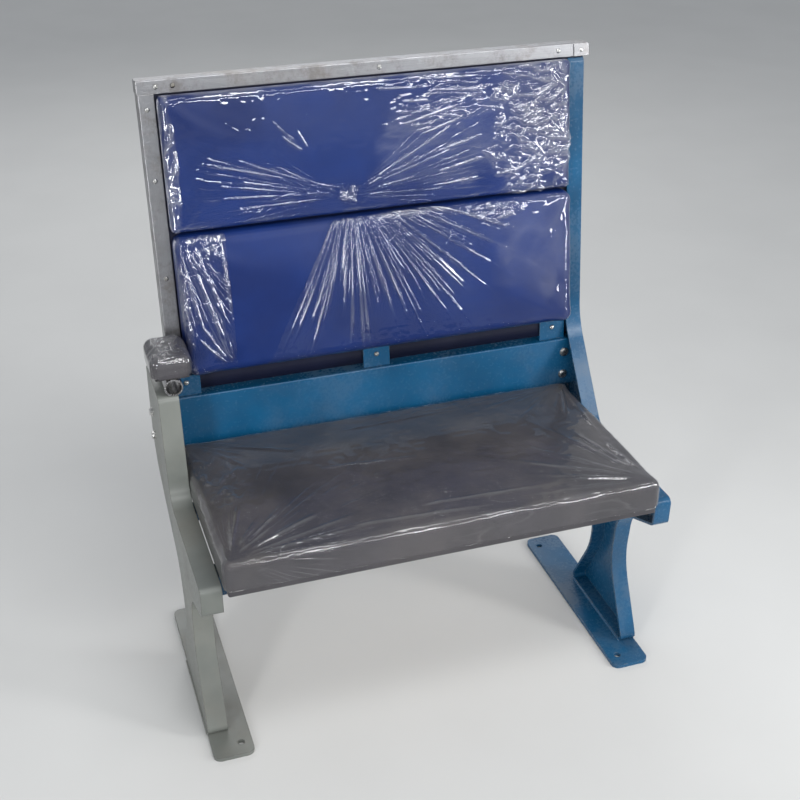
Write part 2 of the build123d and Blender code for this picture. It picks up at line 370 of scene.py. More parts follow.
class Finish(Graph):
    # a material's own tree, with its Principled shader, its output and the object's coordinates
    def __init__(self, name):
        self.material = bpy.data.materials.new(name)
        self.material.use_nodes = True
        super().__init__(self.material.node_tree)
        self.tree.nodes.clear()
        self.shader = self.add("BsdfPrincipled")
        self.out = self.add("OutputMaterial", {"Surface": self.shader.outputs[0]})
        self.place = self.add("TexCoord").outputs["Object"]

    def group(self, name, values, place=None):
        return self.add("Group", {"Vector": place or self.place, **values}, node_tree=groups[name]).outputs

    def close(self, values):
        for key, value in values.items():
            self.put(self.shader.inputs[key], value)
        return self.material


def vinyl(name, looks):
    # coated cloth: grain in the normal, slow colour change, creases of the grain darkened as painted shade,
    # dust, a soft sheen
    g = Finish(name)
    grain = g.group("grain", {"Cell": looks["cell"]})
    dust = g.group("dust", {"Amount": looks["dust"]})["Mask"]
    slow = g.noise(g.place, looks["patch"], 4.0, 0.6)
    colour = g.mix(g.ramp(slow, 0.3, 0.7), looks["dark"], looks["light"])
    # darker colour in the grain's creases: painted shade in its hollows
    colour = g.mix(g.times(grain["Crease"], 0.35), colour, looks["crease"])
    return g.close({
        "Base Color": g.mix(dust, colour, looks["dustColour"]),
        "Roughness": g.plus(g.times(slow, 0.14), looks["rough"] - 0.07, g.times(dust, 0.3)),
        "Specular IOR Level": 0.25,
        "Normal": g.bump(grain["Height"], 0.0005, looks["grain"]),
    })


def aluminium(name, looks, across):
    # mill-finish extrusion: draw lines along its length, dull stains, fine scratches, brighter edges
    g = Finish(name)
    draw = g.group("draw", {"Across": across})
    wear = g.group("wear", {"Radius": 0.0012, "Amount": 0.75, "Scale": 90.0})
    dust = g.group("dust", {"Amount": 0.35})["Mask"]
    stain = g.ramp(draw["Stain"], 0.42, 0.72)
    colour = g.mix(stain, looks["light"], looks["dark"])
    colour = g.mix(g.times(draw["Line"], 0.4), colour, looks["line"])
    colour = g.mix(wear["Mask"], colour, looks["edge"])
    height = g.minus(g.times(draw["Line"], 0.6), g.times(draw["Scratch"], 0.5))
    return g.close({
        "Base Color": g.mix(dust, colour, looks["dustColour"]),
        "Roughness": g.plus(g.ramp(draw["Line"], 0.25, 0.75, 0.27, 0.42), g.times(stain, 0.16)),
        "Metallic": g.ramp(g.plus(stain, dust), 0.2, 1.6, 1.0, 0.62),
        "Normal": g.bump(height, 0.0002, 0.5, wear["Normal"]),
    })


paintDust = linear(128, 120, 108)


def enamel(name, looks):
    # brushed-on gloss enamel: brush marks and runs in the coat, chips to primer at the edges, dust
    g = Finish(name)
    wear = g.group("wear", {"Radius": 0.0018, "Amount": looks["wear"], "Scale": 75.0})
    dust = g.group("dust", {"Amount": looks["dust"]})["Mask"]
    slow = g.noise(g.place, 7.0, 4.0)
    strokes = g.noise(g.place, 160.0, 3.0)
    runs = g.noise(g.vector("MULTIPLY", g.place, (30.0, 30.0, 14.0)), 1.0, 2.0)
    colour = g.mix(g.ramp(slow, 0.3, 0.7), looks["dark"], looks["light"])
    colour = g.mix(wear["Mask"], colour, looks["chip"])
    rough = g.ramp(strokes, 0.3, 0.7, looks["rough"], looks["rough"] + 0.06)
    return g.close({
        "Base Color": g.mix(dust, colour, paintDust),
        "Roughness": g.plus(g.times(dust, 0.45), rough, g.times(wear["Mask"], 0.3)),
        "Normal": g.bump(g.plus(g.times(strokes, 0.1), g.times(runs, 0.7)), 0.0007, 0.4, wear["Normal"]),
    })


def plywood(name, looks, tilt, through):
    # rotary-cut veneer: long grain with early and late wood; plies show as bands through the thickness
    g = Finish(name)
    turned = g.add("Mapping", {"Vector": g.place, "Rotation": (tilt, 0.0, 0.0)}, vector_type="POINT")
    turned = turned.outputs[0]
    veneer = g.add("TexNoise", {"Vector": g.vector("MULTIPLY", turned, (5.0, 60.0, 60.0)), "Scale": 1.0,
                                "Detail": 5.0, "Distortion": 1.2}).outputs["Fac"]
    fine = g.noise(g.vector("MULTIPLY", turned, (30.0, 900.0, 900.0)), 1.0, 2.0)
    plies = g.math("SINE", g.times(g.parts(turned)[through], tau / looks["pair"]))
    face = g.add("Mapping", {"Vector": g.add("NewGeometry").outputs["Normal"],
                             "Rotation": (tilt, 0.0, 0.0)}, vector_type="VECTOR").outputs[0]
    onEdge = g.ramp(g.math("ABSOLUTE", g.parts(face)[through]), 0.5, 0.8, 1.0, 0.0)
    colour = g.mix(g.ramp(veneer, 0.35, 0.68), looks["early"], looks["late"])
    colour = g.mix(g.times(fine, 0.4), colour, looks["fibre"])
    colour = g.mix(onEdge, colour, g.mix(g.ramp(plies, -0.35, 0.35), looks["ply"], looks["crossPly"]))
    dust = g.group("dust", {"Amount": 0.4})["Mask"]
    return g.close({
        "Base Color": g.mix(dust, colour, looks["dustColour"]),
        "Roughness": g.ramp(veneer, 0.3, 0.7, 0.62, 0.8),
        "Normal": g.bump(g.plus(fine, plies), 0.0004, 0.35),
    })


def brightSteel(name, looks):
    # turned or plated steel: fine draw lines, faint tarnish
    g = Finish(name)
    draw = g.group("draw", {"Across": looks["across"]})
    return g.close({
        "Base Color": g.mix(g.ramp(draw["Stain"], 0.45, 0.7), looks["light"], looks["dark"]),
        "Roughness": g.ramp(draw["Line"], 0.3, 0.7, looks["rough"], looks["rough"] + 0.15),
        "Metallic": 1.0,
        "Normal": g.bump(draw["Line"], 0.0001, 0.4),
    })


filmOptics = {
    "faceShare": 0.028,       # what one layer mirrors seen straight on
    "edgeShare": 0.9,         # and how much more it does edge on
    "edgePower": 4.5,
    "lineShare": 0.7,         # fine creases count as so much of a fold
    "tilt": (0.955, 0.997),   # only what leans off the face mirrors as several layers
    "creaseHeight": 0.0016,
    "bunchRough": 0.09,
    # whitish colour of bunched film and of the painted reflection haze
    "milkAndPaintedHazeColour": linear(226, 228, 240),
}


def film(name, looks, outwards):
    # clear film: see-through but for what it mirrors, more where it is folded on itself, whitened where
    # bunched: partly the milkiness of bunched film, partly painted reflection
    g = Finish(name)
    flat = g.add("UVMap", uv_map="flat").outputs[0]
    bunch = g.add("Attribute", attribute_name="bunch").outputs["Fac"]
    fold = g.add("Attribute", attribute_name="fold").outputs["Fac"]
    tangle = g.times(bunch, fold)
    crease = g.group("crease", {"Centre": (*looks["centre"], 0.0), "Rays": looks["rays"],
                                "Reach": looks["reach"], "Wisps": (*looks["wisps"], 0.0),
                                "Level": looks["level"]}, flat)
    crumple = g.edges(g.vector("MULTIPLY", flat, (*looks["crumple"], 0.0)), 1.0)
    crumpled = g.times(g.ramp(crumple, 0.0, 0.4), tangle)
    height = g.math("MULTIPLY_ADD", crumpled, looks["crumpled"], crease["Height"])
    normal = g.bump(height, filmOptics["creaseHeight"], looks["bump"])
    slant = g.add("LayerWeight", {"Blend": 0.5, "Normal": normal}).outputs["Facing"]
    share = g.math("MULTIPLY_ADD", g.math("POWER", slant, filmOptics["edgePower"]),
                   filmOptics["edgeShare"], filmOptics["faceShare"])
    leaning = g.ramp(g.vector("DOT_PRODUCT", normal, outwards, output="Value"), *filmOptics["tilt"], 1.0, 0.0)
    layers = g.math("MAXIMUM", fold, g.times(crease["Line"], filmOptics["lineShare"]))
    share = g.math("MULTIPLY_ADD", g.times(layers, leaning), looks["layers"], share)
    rough = g.math("MULTIPLY_ADD", tangle, filmOptics["bunchRough"], looks["rough"])
    mirror = g.add("BsdfGlossy", {"Color": (1, 1, 1, 1), "Roughness": rough, "Normal": normal})
    clear = g.add("BsdfTransparent", {"Color": (1, 1, 1, 1)})
    shine = g.add("MixShader", {0: share, 1: clear.outputs[0], 2: mirror.outputs[0]})
    # the bunch mask whitens the film: partly milky bunched film, partly painted reflection of bright light
    milkAndPaintedHazeMix = g.add("MixShader", {0: g.times(bunch, looks["milkAndPaintedHaze"]), 1: shine.outputs[0],
                                2: g.shader.outputs[0]})
    g.put(g.out.inputs["Surface"], milkAndPaintedHazeMix.outputs[0])
    return g.close({"Base Color": filmOptics["milkAndPaintedHazeColour"], "Roughness": 0.25, "Normal": normal})


# in each vinyl's looks, crease is a darker colour for the grain's creases: painted shade
blueLooks = {
    "dark": linear(12, 33, 86), "light": linear(18, 46, 108), "crease": linear(8, 24, 66),
    "dustColour": linear(100, 108, 132), "dust": 0.1, "cell": 620.0, "patch": 3.5, "rough": 0.42,
    "grain": 0.07,
}
# near-black navy for the board cover: painted shade in the gaps round the pads
coverPaintedShadeLooks = {
    "dark": linear(12, 16, 34), "light": linear(20, 24, 48), "crease": linear(8, 10, 24),
    "dustColour": linear(96, 96, 104), "dust": 0.1, "cell": 620.0, "patch": 3.5, "rough": 0.5,
    "grain": 0.07,
}
greyLooks = {
    "dark": linear(65, 64, 68), "light": linear(78, 76, 80), "crease": linear(40, 39, 42),
    "dustColour": linear(128, 120, 110), "dust": 0.24, "cell": 560.0, "patch": 9.0, "rough": 0.44,
    "grain": 0.2,
}
tealLooks = {
    "dark": linear(8, 66, 100), "light": linear(14, 80, 118), "chip": linear(122, 116, 106),
    "wear": 0.3, "dust": 0.35, "rough": 0.22,
}
greenLooks = {
    "dark": linear(98, 102, 98), "light": linear(118, 121, 116), "chip": linear(60, 57, 54),
    "wear": 0.45, "dust": 0.4, "rough": 0.34,
}
blackLooks = {
    "dark": linear(34, 34, 36), "light": linear(44, 44, 46), "chip": linear(120, 116, 110),
    "wear": 0.4, "dust": 0.3, "rough": 0.42,
}
trimLooks = {
    "light": linear(172, 173, 177), "dark": linear(122, 119, 118), "line": linear(94, 95, 97),
    "edge": linear(228, 227, 224), "dustColour": linear(160, 150, 136),
}
plyLooks = {
    "early": linear(205, 170, 124), "late": linear(160, 118, 76), "fibre": linear(120, 84, 52),
    "ply": linear(196, 160, 116), "crossPly": linear(112, 76, 46), "dustColour": linear(150, 140, 125),
    "pair": 0.0069,           # thickness of a ply and a cross ply
}
tubeLooks = {"light": linear(190, 190, 192), "dark": linear(132, 128, 122), "rough": 0.18,
             "across": (500.0, 6.0, 500.0)}
zincLooks = {"light": linear(206, 206, 204), "dark": linear(140, 136, 128), "rough": 0.22,
             "across": (300.0, 300.0, 300.0)}
finishes = {
    "blueVinyl": (vinyl, blueLooks), "greyVinyl": (vinyl, greyLooks), "coverVinylPaintedShade": (vinyl, coverPaintedShadeLooks),
    "trimAcross": (aluminium, trimLooks, (3.0, 420.0, 420.0)),
    "trimUp": (aluminium, trimLooks, (420.0, 420.0, 3.0)),
    "tealEnamel": (enamel, tealLooks), "greyGreenEnamel": (enamel, greenLooks),
    "blackEnamel": (enamel, blackLooks), "boardPly": (plywood, plyLooks, lean, "Y"),
    "panPly": (plywood, plyLooks, seatSlope, "Z"), "tubeSteel": (brightSteel, tubeLooks),
    "zincPlate": (brightSteel, zincLooks),
}
materials = {name: make(name, *values) for name, (make, *values) in finishes.items()}
finishNodes = {
    "tealEnamel": ("front_rail", "rear_rail", "rear_beam", "window_standard", "window_foot", "aisle_clip",
                   "middle_clip", "window_clip"),
    "greyGreenEnamel": ("aisle_standard", "aisle_foot"), "blackEnamel": ("arm_plate",),
    "trimAcross": ("top_trim", "window_corner"), "trimUp": ("aisle_trim",), "blueVinyl": ("rear_panel",),
    "boardPly": ("back_board",), "panPly": ("squab_pan",), "tubeSteel": ("arm_tube",),
}
for finish, names in finishNodes.items():
    for node in names:
        nodes[node].data.materials.clear()
        nodes[node].data.materials.append(materials[finish])
print("materials made")


# Cushions

swelling = {"pressure": 4.0, "frames": 20, "quality": 5, "bending": 1.0, "lump": 0.06, "rim": 0.03}


def padSpec(name, node, tilt, looks):
    # a cushion's sizes from the CAD solid that it replaces; one on the leaning board stands off it
    low, high = tiltedBox(node, tilt)
    middle, size = (low + high) / 2, high - low
    spec = {"name": name, "node": node, "tilt": tilt, "stands": tilt == lean, "shrinkSide": 0.0,
            "play": 0.0, "voxel": 0.006, "heldBelow": 0.004, **looks}
    if spec["stands"]:
        spec.update(wide=size[0], long=size[2], thickFoot=size[1], middle=(middle[0], high[1], middle[2]))
    else:
        spec.update(wide=size[0], long=size[1], thickFoot=size[2], middle=(middle[0], middle[1], low[2]))
    spec.setdefault("thick", spec["thickFoot"])
    return spec


def thickAt(spec, y):
    # the pad's thickness along its length, thicker at the low end of a wedge
    share = y / spec["long"] + 0.5
    return spec["thick"] + (1 - share) * (spec["thickFoot"] - spec["thick"])


def padShell(spec, count=96):
    # a slab: a rounded rectangle's outline carried up the side, round the edge arc and in to the middle
    turns = np.linspace(0, tau, count, endpoint=False) + tau / count / 2
    corner, edge, shrink = spec["corner"], spec["edge"], spec["shrinkSide"]
    outX, outY = np.cos(turns), np.sin(turns)
    coreX = (spec["wide"] / 2 - corner) * np.sign(outX)
    coreY = (spec["long"] / 2 - corner) * np.sign(outY)
    top = spec["thick"] - spec["shrinkFace"]
    rows = [(-shrink, 0.0)]
    for angle in np.linspace(0, pi / 2, 8):
        rows.append((-shrink - edge * (1 - cos(angle)), top - edge * (1 - sin(angle))))
    rings = []
    for inset, height in rows:
        x, y = coreX + outX * (corner + inset), coreY + outY * (corner + inset)
        rings.append(np.stack((x, y, height * thickAt(spec, y) / spec["thick"]), -1))
    return shell(spec["name"], np.stack(rings))


def padPlace(spec, points):
    # from the pad's own axes (across, along, height off its base) to the row frame
    x, y, z = points[..., 0], points[..., 1], points[..., 2]
    middle = spec["middle"]
    if spec["stands"]:
        own = np.stack((x + middle[0], middle[1] - z, y + middle[2]), -1)
    else:
        own = np.stack((x + middle[0], y + middle[1], z + middle[2]), -1)
    return toRow(own, spec["tilt"])


def cushion(spec, material):
    # a slab remeshed and swelled by a short cloth simulation, then held to its frame and subdivided
    pad = padShell(spec)
    remesh = pad.modifiers.new("even", "REMESH")
    remesh.mode = "VOXEL"
    remesh.voxel_size = spec["voxel"]
    applyAll(pad)
    rest = readAll(pad.data.vertices)
    held = pad.vertex_groups.new(name="held")
    held.add(np.flatnonzero(rest[:, 2] < spec["heldBelow"]).tolist(), 1.0, "REPLACE")
    cloth = pad.modifiers.new("swell", "CLOTH").settings
    cloth.use_pressure = True
    cloth.uniform_pressure_force = swelling["pressure"]
    cloth.effector_weights.gravity = 0.0
    cloth.vertex_group_mass = "held"
    cloth.quality = swelling["quality"]
    cloth.bending_stiffness = swelling["bending"]
    for step in range(1, swelling["frames"] + 1):
        bpy.context.scene.frame_set(step)
    applyAll(pad)
    moved = readAll(pad.data.vertices) - rest
    points = rest + moved * min(1, spec["cap"] / max(np.linalg.norm(moved, axis=1).max(), 1e-9))
    wide, long, play = spec["wide"] / 2, spec["long"] / 2, spec["play"]
    writePoints(pad.data, np.clip(points, (-wide - play, -long, 0.0), (wide + play, long + play, np.inf)))
    finer = pad.modifiers.new("finer", "SUBSURF")
    finer.levels = finer.render_levels = 1
    applyAll(pad)
    points = readAll(pad.data.vertices)
    side = np.minimum(wide - np.abs(points[:, 0]), long - np.abs(points[:, 1]))
    lump = softNoise(points[:, 0], points[:, 1], swelling["lump"], spec["seed"]) * spec["uneven"]
    lump *= smoothStep(0.0, swelling["rim"], side)
    points[:, 2] += lump * smoothStep(0.4, 0.9, points[:, 2] / spec["thick"])
    writePoints(pad.data, padPlace(spec, points))
    settle(pad, material)
    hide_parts(spec["node"])
    print(spec["name"], "swelled,", len(pad.data.polygons), "faces")
    return pad


upperPad = padSpec("upperCushion", "upper_pad", lean, {
    "corner": 0.008, "edge": 0.01, "shrinkFace": 0.003, "cap": 0.006, "uneven": 0.0006, "fill": 0.85,
    "slot": "blue_vinyl", "seed": 3,
})
lowerPad = padSpec("lowerCushion", "lower_pad", lean, {
    "thick": 0.042, "corner": 0.02, "edge": 0.014, "shrinkFace": 0.004, "cap": 0.008, "uneven": 0.0009,
    "fill": 0.8, "slot": "blue_vinyl", "seed": 5,
})
seatPad = padSpec("seatCushion", "squab", seatSlope, {
    "corner": 0.016, "edge": 0.012, "shrinkSide": -0.003, "shrinkFace": 0.005, "cap": 0.009,
    "play": 0.002, "uneven": 0.0012, "fill": 0.8, "slot": "grey_vinyl", "seed": 8,
})
armPad = padSpec("armCushion", "arm_pad", 0.0, {
    "corner": 0.02, "edge": 0.014, "shrinkFace": 0.003, "voxel": 0.004, "cap": 0.005, "uneven": 0.0004,
    "heldBelow": 0.003, "fill": 0.85, "slot": "grey_vinyl", "seed": 9,
})
cushions = {}
for spec, finish in ((upperPad, "blueVinyl"), (lowerPad, "blueVinyl"), (seatPad, "greyVinyl"),
                     (armPad, "greyVinyl")):
    cushions[spec["name"]] = cushion(spec, materials[finish])


# Wrapping film

filmShape = {
    "ragged": 0.03,           # cell of the noise that makes a bunch's border ragged
    "dash": 0.045,            # and of the one that breaks up the light along a pad's edges
    "cornerZone": 0.03, "cornerPleats": 11,
}


def wrapOver(spec, a, b):
    # lays a flat sheet over the pad: flat on its face, round the edge arc, then straight down the side
    corner, edge = max(spec["corner"], spec["edge"] + 0.001), spec["edge"]
    coreX = np.clip(a, corner - spec["wide"] / 2, spec["wide"] / 2 - corner)
    coreY = np.clip(b, corner - spec["long"] / 2, spec["long"] / 2 - corner)
    dx, dy = a - coreX, b - coreY
    away = np.hypot(dx, dy)
    past = np.maximum(away - (corner - edge), 0)
    turn = np.minimum(past / edge, pi / 2)
    reach = np.where(past > 0, corner - edge + edge * np.sin(turn), away)
    x = coreX + dx / np.maximum(away, 1e-9) * reach
    y = coreY + dy / np.maximum(away, 1e-9) * reach
    drop = edge * (1 - np.cos(turn)) + np.maximum(past - edge * pi / 2, 0)
    height = np.maximum(thickAt(spec, y) - drop, 0.001)
    return np.stack((x, y, height), -1), past


def foldLine(a, b, start, end, width, height):
    # one crease: a cosine ridge along a segment, thin at its start, widest past its middle, fading out far
    run = np.subtract(end, start)
    along = np.clip(((a - start[0]) * run[0] + (b - start[1]) * run[1]) / (run @ run), 0, 1)
    off = np.hypot(a - start[0] - along * run[0], b - start[1] - along * run[1])
    spread = width * (0.35 + 0.65 * along) * (1 - 0.5 * smoothStep(0.6, 1.0, along))
    ridge = np.cos(np.minimum(off / spread, 1) * pi / 2) ** 2
    return height * ridge * smoothStep(0.0, 0.12, along) * smoothStep(1.0, 0.45, along)


def fanFolds(a, b, fan, draw):
    # creases that run out from one point, spread over an angle with some play
    total = np.zeros_like(a)
    angles = np.linspace(fan["from"], fan["to"], fan["count"]) + draw.normal(0, fan["play"], fan["count"])
    for angle in np.radians(angles):
        inner = fan["inner"] * draw.uniform(0.7, 1.4)
        outer = inner + (fan["outer"] - fan["inner"]) * draw.uniform(0.4, 1.0)
        way, centre = np.array((cos(angle), sin(angle))), np.array(fan["centre"])
        width, height = fan["width"] * draw.uniform(0.6, 1.4), fan["height"] * draw.uniform(0.4, 1.3)
        one = foldLine(a, b, centre + inner * way, centre + outer * way, width, height)
        total = np.maximum(total, one)
    return total


def crumples(patch, a, b, seed):
    # ridged noise in two sizes, each turned its own way: 1 on the ridges and lower between them
    coarse = turnedNoise(a, b * patch["stretch"], 0.5, patch["cell"], seed + 1)
    fine = turnedNoise(a, b * patch["stretch"], -0.9, patch["cell"] * 0.55, seed + 2)
    return (1 - np.abs(coarse)) ** 3 * 0.65 + (1 - np.abs(fine)) ** 3 * 0.35


def bunched(spec, a, b, height, fold):
    # adds the bunches: ragged ovals of crumples that rise off the sheet, or only make it hazy, a whitening
    # that is painted reflection
    seed, bunch = spec["seed"], np.zeros_like(a)
    for row in spec["bunches"]:
        patch = dict(zip(bunchWords, row))
        near = ((a - patch["at"][0]) / patch["size"][0]) ** 2 + ((b - patch["at"][1]) / patch["size"][1]) ** 2
        inside = smoothStep(1.0, 0.35, near + 0.35 * softNoise(a, b, filmShape["ragged"], seed + 5))
        crumple = crumples(patch, a, b, seed)
        height = np.maximum(height, inside * crumple * patch["height"])
        if patch["height"] > 0:
            fold = np.maximum(fold, inside * smoothStep(0.15, 0.55, crumple))
        bunch = np.maximum(bunch, inside * patch["milkAndPaintedHaze"] * (0.25 + 0.75 * crumple))
    return height, fold, bunch


def alongEdges(spec, pad, a, b, past):
    # what the sheet does at the pad's edges: ripples over the edge arc, broken lines of light on it, and
    # pleats round each corner
    seed, arc, zone = spec["seed"], pad["edge"] * pi / 4, filmShape["cornerZone"]
    ripple = np.abs(softNoise(a, b, spec["rippleCell"], seed + 3)) * spec["ripple"]
    ripple *= smoothStep(2.2 * arc, 0.0, np.abs(past - arc))
    dashes = smoothStep(-0.35, 0.25, softNoise(a, b, filmShape["dash"], seed + 4))
    light = spec["crest"] * dashes * smoothStep(1.7 * arc, 0.5 * arc, np.abs(past - arc))
    pastX, pastY = np.abs(a) - pad["wide"] / 2 + zone, np.abs(b) - pad["long"] / 2 + zone
    pleat = np.abs(np.sin(np.arctan2(pastY, pastX) * filmShape["cornerPleats"])) * spec["pleat"]
    return ripple, light, pleat * smoothStep(0.0, zone, np.minimum(pastX, pastY))


def filmHeights(spec, pad, a, b, past):
    # how far the film stands off the cushion, in metres, and how folded and how bunched or whitened by
    # painted haze it is, from 0 to 1
    draw, height = np.random.default_rng(spec["seed"]), np.zeros_like(a)
    for fan in spec["fans"]:
        height = np.maximum(height, fanFolds(a, b, dict(zip(fanWords, fan)), draw))
    for start, end, width, rise in spec["folds"]:
        height = np.maximum(height, foldLine(a, b, start, end, width, rise))
    fold = smoothStep(0.05, 0.6, height / spec["foldRise"])
    height, fold, bunch = bunched(spec, a, b, height, fold)
    ripple, light, pleat = alongEdges(spec, pad, a, b, past)
    fade = np.maximum(smoothStep(pad["edge"] * 2.2, pad["edge"] * 0.9, past), spec["onSides"])
    return np.maximum(height + ripple, pleat) * fade, np.maximum(fold, light), bunch


def filmSheet(spec, pad, places):
    # a sheet of clear film over one cushion: laid over it, drawn down to it, then creased
    a, b = places
    own, past = wrapOver(pad, a, b)
    sheet = meshObject(spec["name"], padPlace(pad, own), gridFaces(*a.shape), flat=np.stack((a, b), -1))
    hug = sheet.modifiers.new("hug", "SHRINKWRAP")
    hug.target = cushions[pad["name"]]
    hug.wrap_method = "NEAREST_SURFACEPOINT"
    hug.wrap_mode = "ABOVE_SURFACE"
    hug.offset = spec["gap"]
    applyAll(sheet)
    height, fold, bunch = filmHeights(spec, pad, a, b, past)
    normals = readNormals(sheet.data)
    outwards = np.diff(padPlace(pad, np.array(((0, 0, 0), (0, 0, 1.0)))), axis=0)[0]
    if normals.mean(0) @ outwards < 0:
        sheet.data.flip_normals()
        normals = -normals
    writePoints(sheet.data, readAll(sheet.data.vertices) + normals * height.reshape(-1, 1))
    for label, values in (("bunch", bunch), ("fold", fold)):
        sheet.data.attributes.new(label, "FLOAT", "POINT").data.foreach_set("value", values.ravel())
    settle(sheet, film(spec["name"], spec["looks"], outwards.tolist()))


def evenSheet(spec, pad, right=None):
    # a rectangle of film with its overhang round the pad, on an even grid, cut short where right says
    over, cell = spec["over"], spec["cell"]
    end = pad["wide"] / 2 + over if right is None else right
    across = np.arange(-pad["wide"] / 2 - over, end, cell)
    along = np.arange(-pad["long"] / 2 - over, pad["long"] / 2 + over, cell)
    return np.meshgrid(along, across, indexing="ij")[::-1]


def fanSheet(spec, pad):
    # film gathered above the pad and spread down over it: rays from one point, cut at the pad's overhang
    over, focus = spec["over"], spec["focus"]
    angle = np.radians(np.linspace(spec["fromAngle"], spec["toAngle"], spec["rays"]))[None, :]
    share = np.linspace(0, 1, spec["steps"])[:, None]
    top, foot = pad["long"] / 2 + over, -pad["long"] / 2 - over
    side = pad["wide"] / 2 + over
    start = (top - focus[1]) / np.sin(angle)
    toFoot = (foot - focus[1]) / np.sin(angle)
    toSide = np.where(np.cos(angle) > 0.01, (side - focus[0]) / np.maximum(np.cos(angle), 0.01), 9.0)
    end = np.maximum(np.minimum(toFoot, toSide), start + 0.004)
    wave = spec["edgeWave"] * softNoise(share * 0.3, share * 0, 0.03, spec["seed"])
    wave = wave * (1 - smoothStep(0, 0.06, angle - angle.min()))
    radius = start + share * (end - start)
    return focus[0] + radius * np.cos(angle + wave), focus[1] + radius * np.sin(angle + wave)


# Each film's fans of creases, single folds (start, end, width, height) and bunches, on the pad's face.
# Angles are in degrees, anticlockwise from the window. A bunch with no height is only a haze, a whitening
# that is painted reflection.
filmLooks = {"level": 0.0, "bump": 0.6, "rough": 0.03, "milkAndPaintedHaze": 0.04, "layers": 0.13}
fanWords = ("centre", "from", "to", "count", "play", "inner", "outer", "width", "height")
bunchWords = ("at", "size", "cell", "stretch", "height", "milkAndPaintedHaze")
knot = (-0.063, -0.086)       # where the upper film is gathered
gather = (-0.057, 0.2025)     # and the lower one, above its pad
upperFilm = {
    "name": "upperFilm", "foldRise": 0.0034, "gap": 0.0007, "cell": 0.0015, "over": 0.014, "seed": 21,
    "ripple": 0.0016, "rippleCell": 0.016, "pleat": 0.002, "onSides": 0.0, "crest": 0.8,
    "fans": [
        (knot, 152, 181, 9, 0.8, 0.012, 0.33, 0.0042, 0.0021),
        (knot, -4, 30, 11, 1.2, 0.02, 0.34, 0.0045, 0.0014),
        (knot, 150, 184, 12, 1.4, 0.02, 0.34, 0.0032, 0.001),
        (knot, -8, 36, 16, 1.6, 0.02, 0.32, 0.0032, 0.001),
        (knot, 28, 140, 9, 4.0, 0.006, 0.045, 0.0035, 0.0016),
        (knot, 10, 350, 9, 8.0, 0.001, 0.026, 0.006, 0.006),
        ((-0.12, -0.01), 118, 146, 5, 5.0, 0.03, 0.12, 0.0045, 0.0019),
    ],
    "folds": [
        ((-0.073, -0.07), (-0.126, -0.055), 0.005, 0.0024), ((-0.126, -0.055), (-0.3, 0.016), 0.005, 0.0024),
        ((-0.16, -0.045), (-0.36, 0.01), 0.005, 0.0024), ((-0.09, -0.078), (-0.365, -0.061), 0.005, 0.0024),
        ((0.0, 0.102), (0.115, 0.096), 0.005, 0.0026), ((0.045, 0.076), (0.135, 0.072), 0.005, 0.0026),
        ((0.04, 0.032), (0.21, 0.072), 0.0055, 0.0026), ((0.105, 0.05), (0.21, 0.028), 0.0055, 0.0024),
        ((0.08, 0.012), (0.225, 0.056), 0.005, 0.0024), ((0.08, 0.113), (0.245, 0.107), 0.005, 0.0026),
        ((0.1, 0.092), (0.25, 0.08), 0.006, 0.0028), ((0.1, -0.086), (0.22, -0.078), 0.006, 0.0028),
        ((0.11, -0.06), (0.23, -0.036), 0.005, 0.0026), ((0.09, -0.026), (0.22, 0.005), 0.005, 0.0024),
    ],
    "bunches": [
        ((0.3, 0.0), (0.1, 0.17), 0.03, 2.0, 0.0065, 1.3),
        ((0.14, 0.07), (0.13, 0.06), 0.03, 3.4, 0.002, 0.25),
        ((0.36, 0.0), (0.03, 0.16), 0.016, 1.0, 0.004, 1.2),
        ((-0.378, 0.0), (0.014, 0.15), 0.016, 0.6, 0.003, 1.0),
        ((-0.02, 0.14), (0.3, 0.014), 0.02, 2.0, 0.002, 0.6),
        (knot, (0.017, 0.014), 0.009, 1.0, 0.008, 0.25),
        # only a haze: painted reflection of bright light on the flat film
        ((0.15, 0.0), (0.16, 0.11), 0.04, 4.0, 0.0, 0.9),
    ],
    "looks": {**filmLooks, "centre": knot, "level": 1.0, "rays": 15.0, "reach": 0.36, "milkAndPaintedHaze": 0.09,
              "layers": 0.2, "wisps": (6.0, 60.0), "crumple": (28.0, 62.0), "crumpled": 1.8},
}
lowerFanFilm = {
    "name": "lowerFanFilm", "foldRise": 0.0046, "gap": 0.0007, "over": 0.012, "seed": 33, "ripple": 0.001,
    "rippleCell": 0.012, "pleat": 0.0, "onSides": 0.0, "crest": 0.3, "focus": gather,
    "fromAngle": -119.0, "toAngle": -9.0, "rays": 430, "steps": 150, "edgeWave": 0.006,
    "fans": [
        (gather, -117, -22, 30, 0.9, 0.06, 0.4, 0.0058, 0.0046),
        (gather, -62, -22, 9, 1.6, 0.09, 0.42, 0.005, 0.0036),
    ],
    "folds": [((-0.09, 0.14), (-0.165, 0.0), 0.007, 0.005), ((0.09, 0.142), (0.29, 0.064), 0.008, 0.005)],
    "bunches": [
        ((0.22, 0.115), (0.07, 0.022), 0.016, 1.4, 0.006, 0.9),
        ((0.0, 0.13), (0.14, 0.012), 0.01, 1.0, 0.002, 0.6),
        # only a haze: painted reflection of bright light on the flat film
        ((0.32, 0.05), (0.12, 0.13), 0.06, 1.0, 0.0, 0.8),
    ],
    "looks": {**filmLooks, "centre": gather, "rays": 17.0, "reach": 0.4, "milkAndPaintedHaze": 0.07, "layers": 0.2,
              "wisps": (6.0, 40.0), "crumple": (60.0, 80.0), "crumpled": 0.9},
}
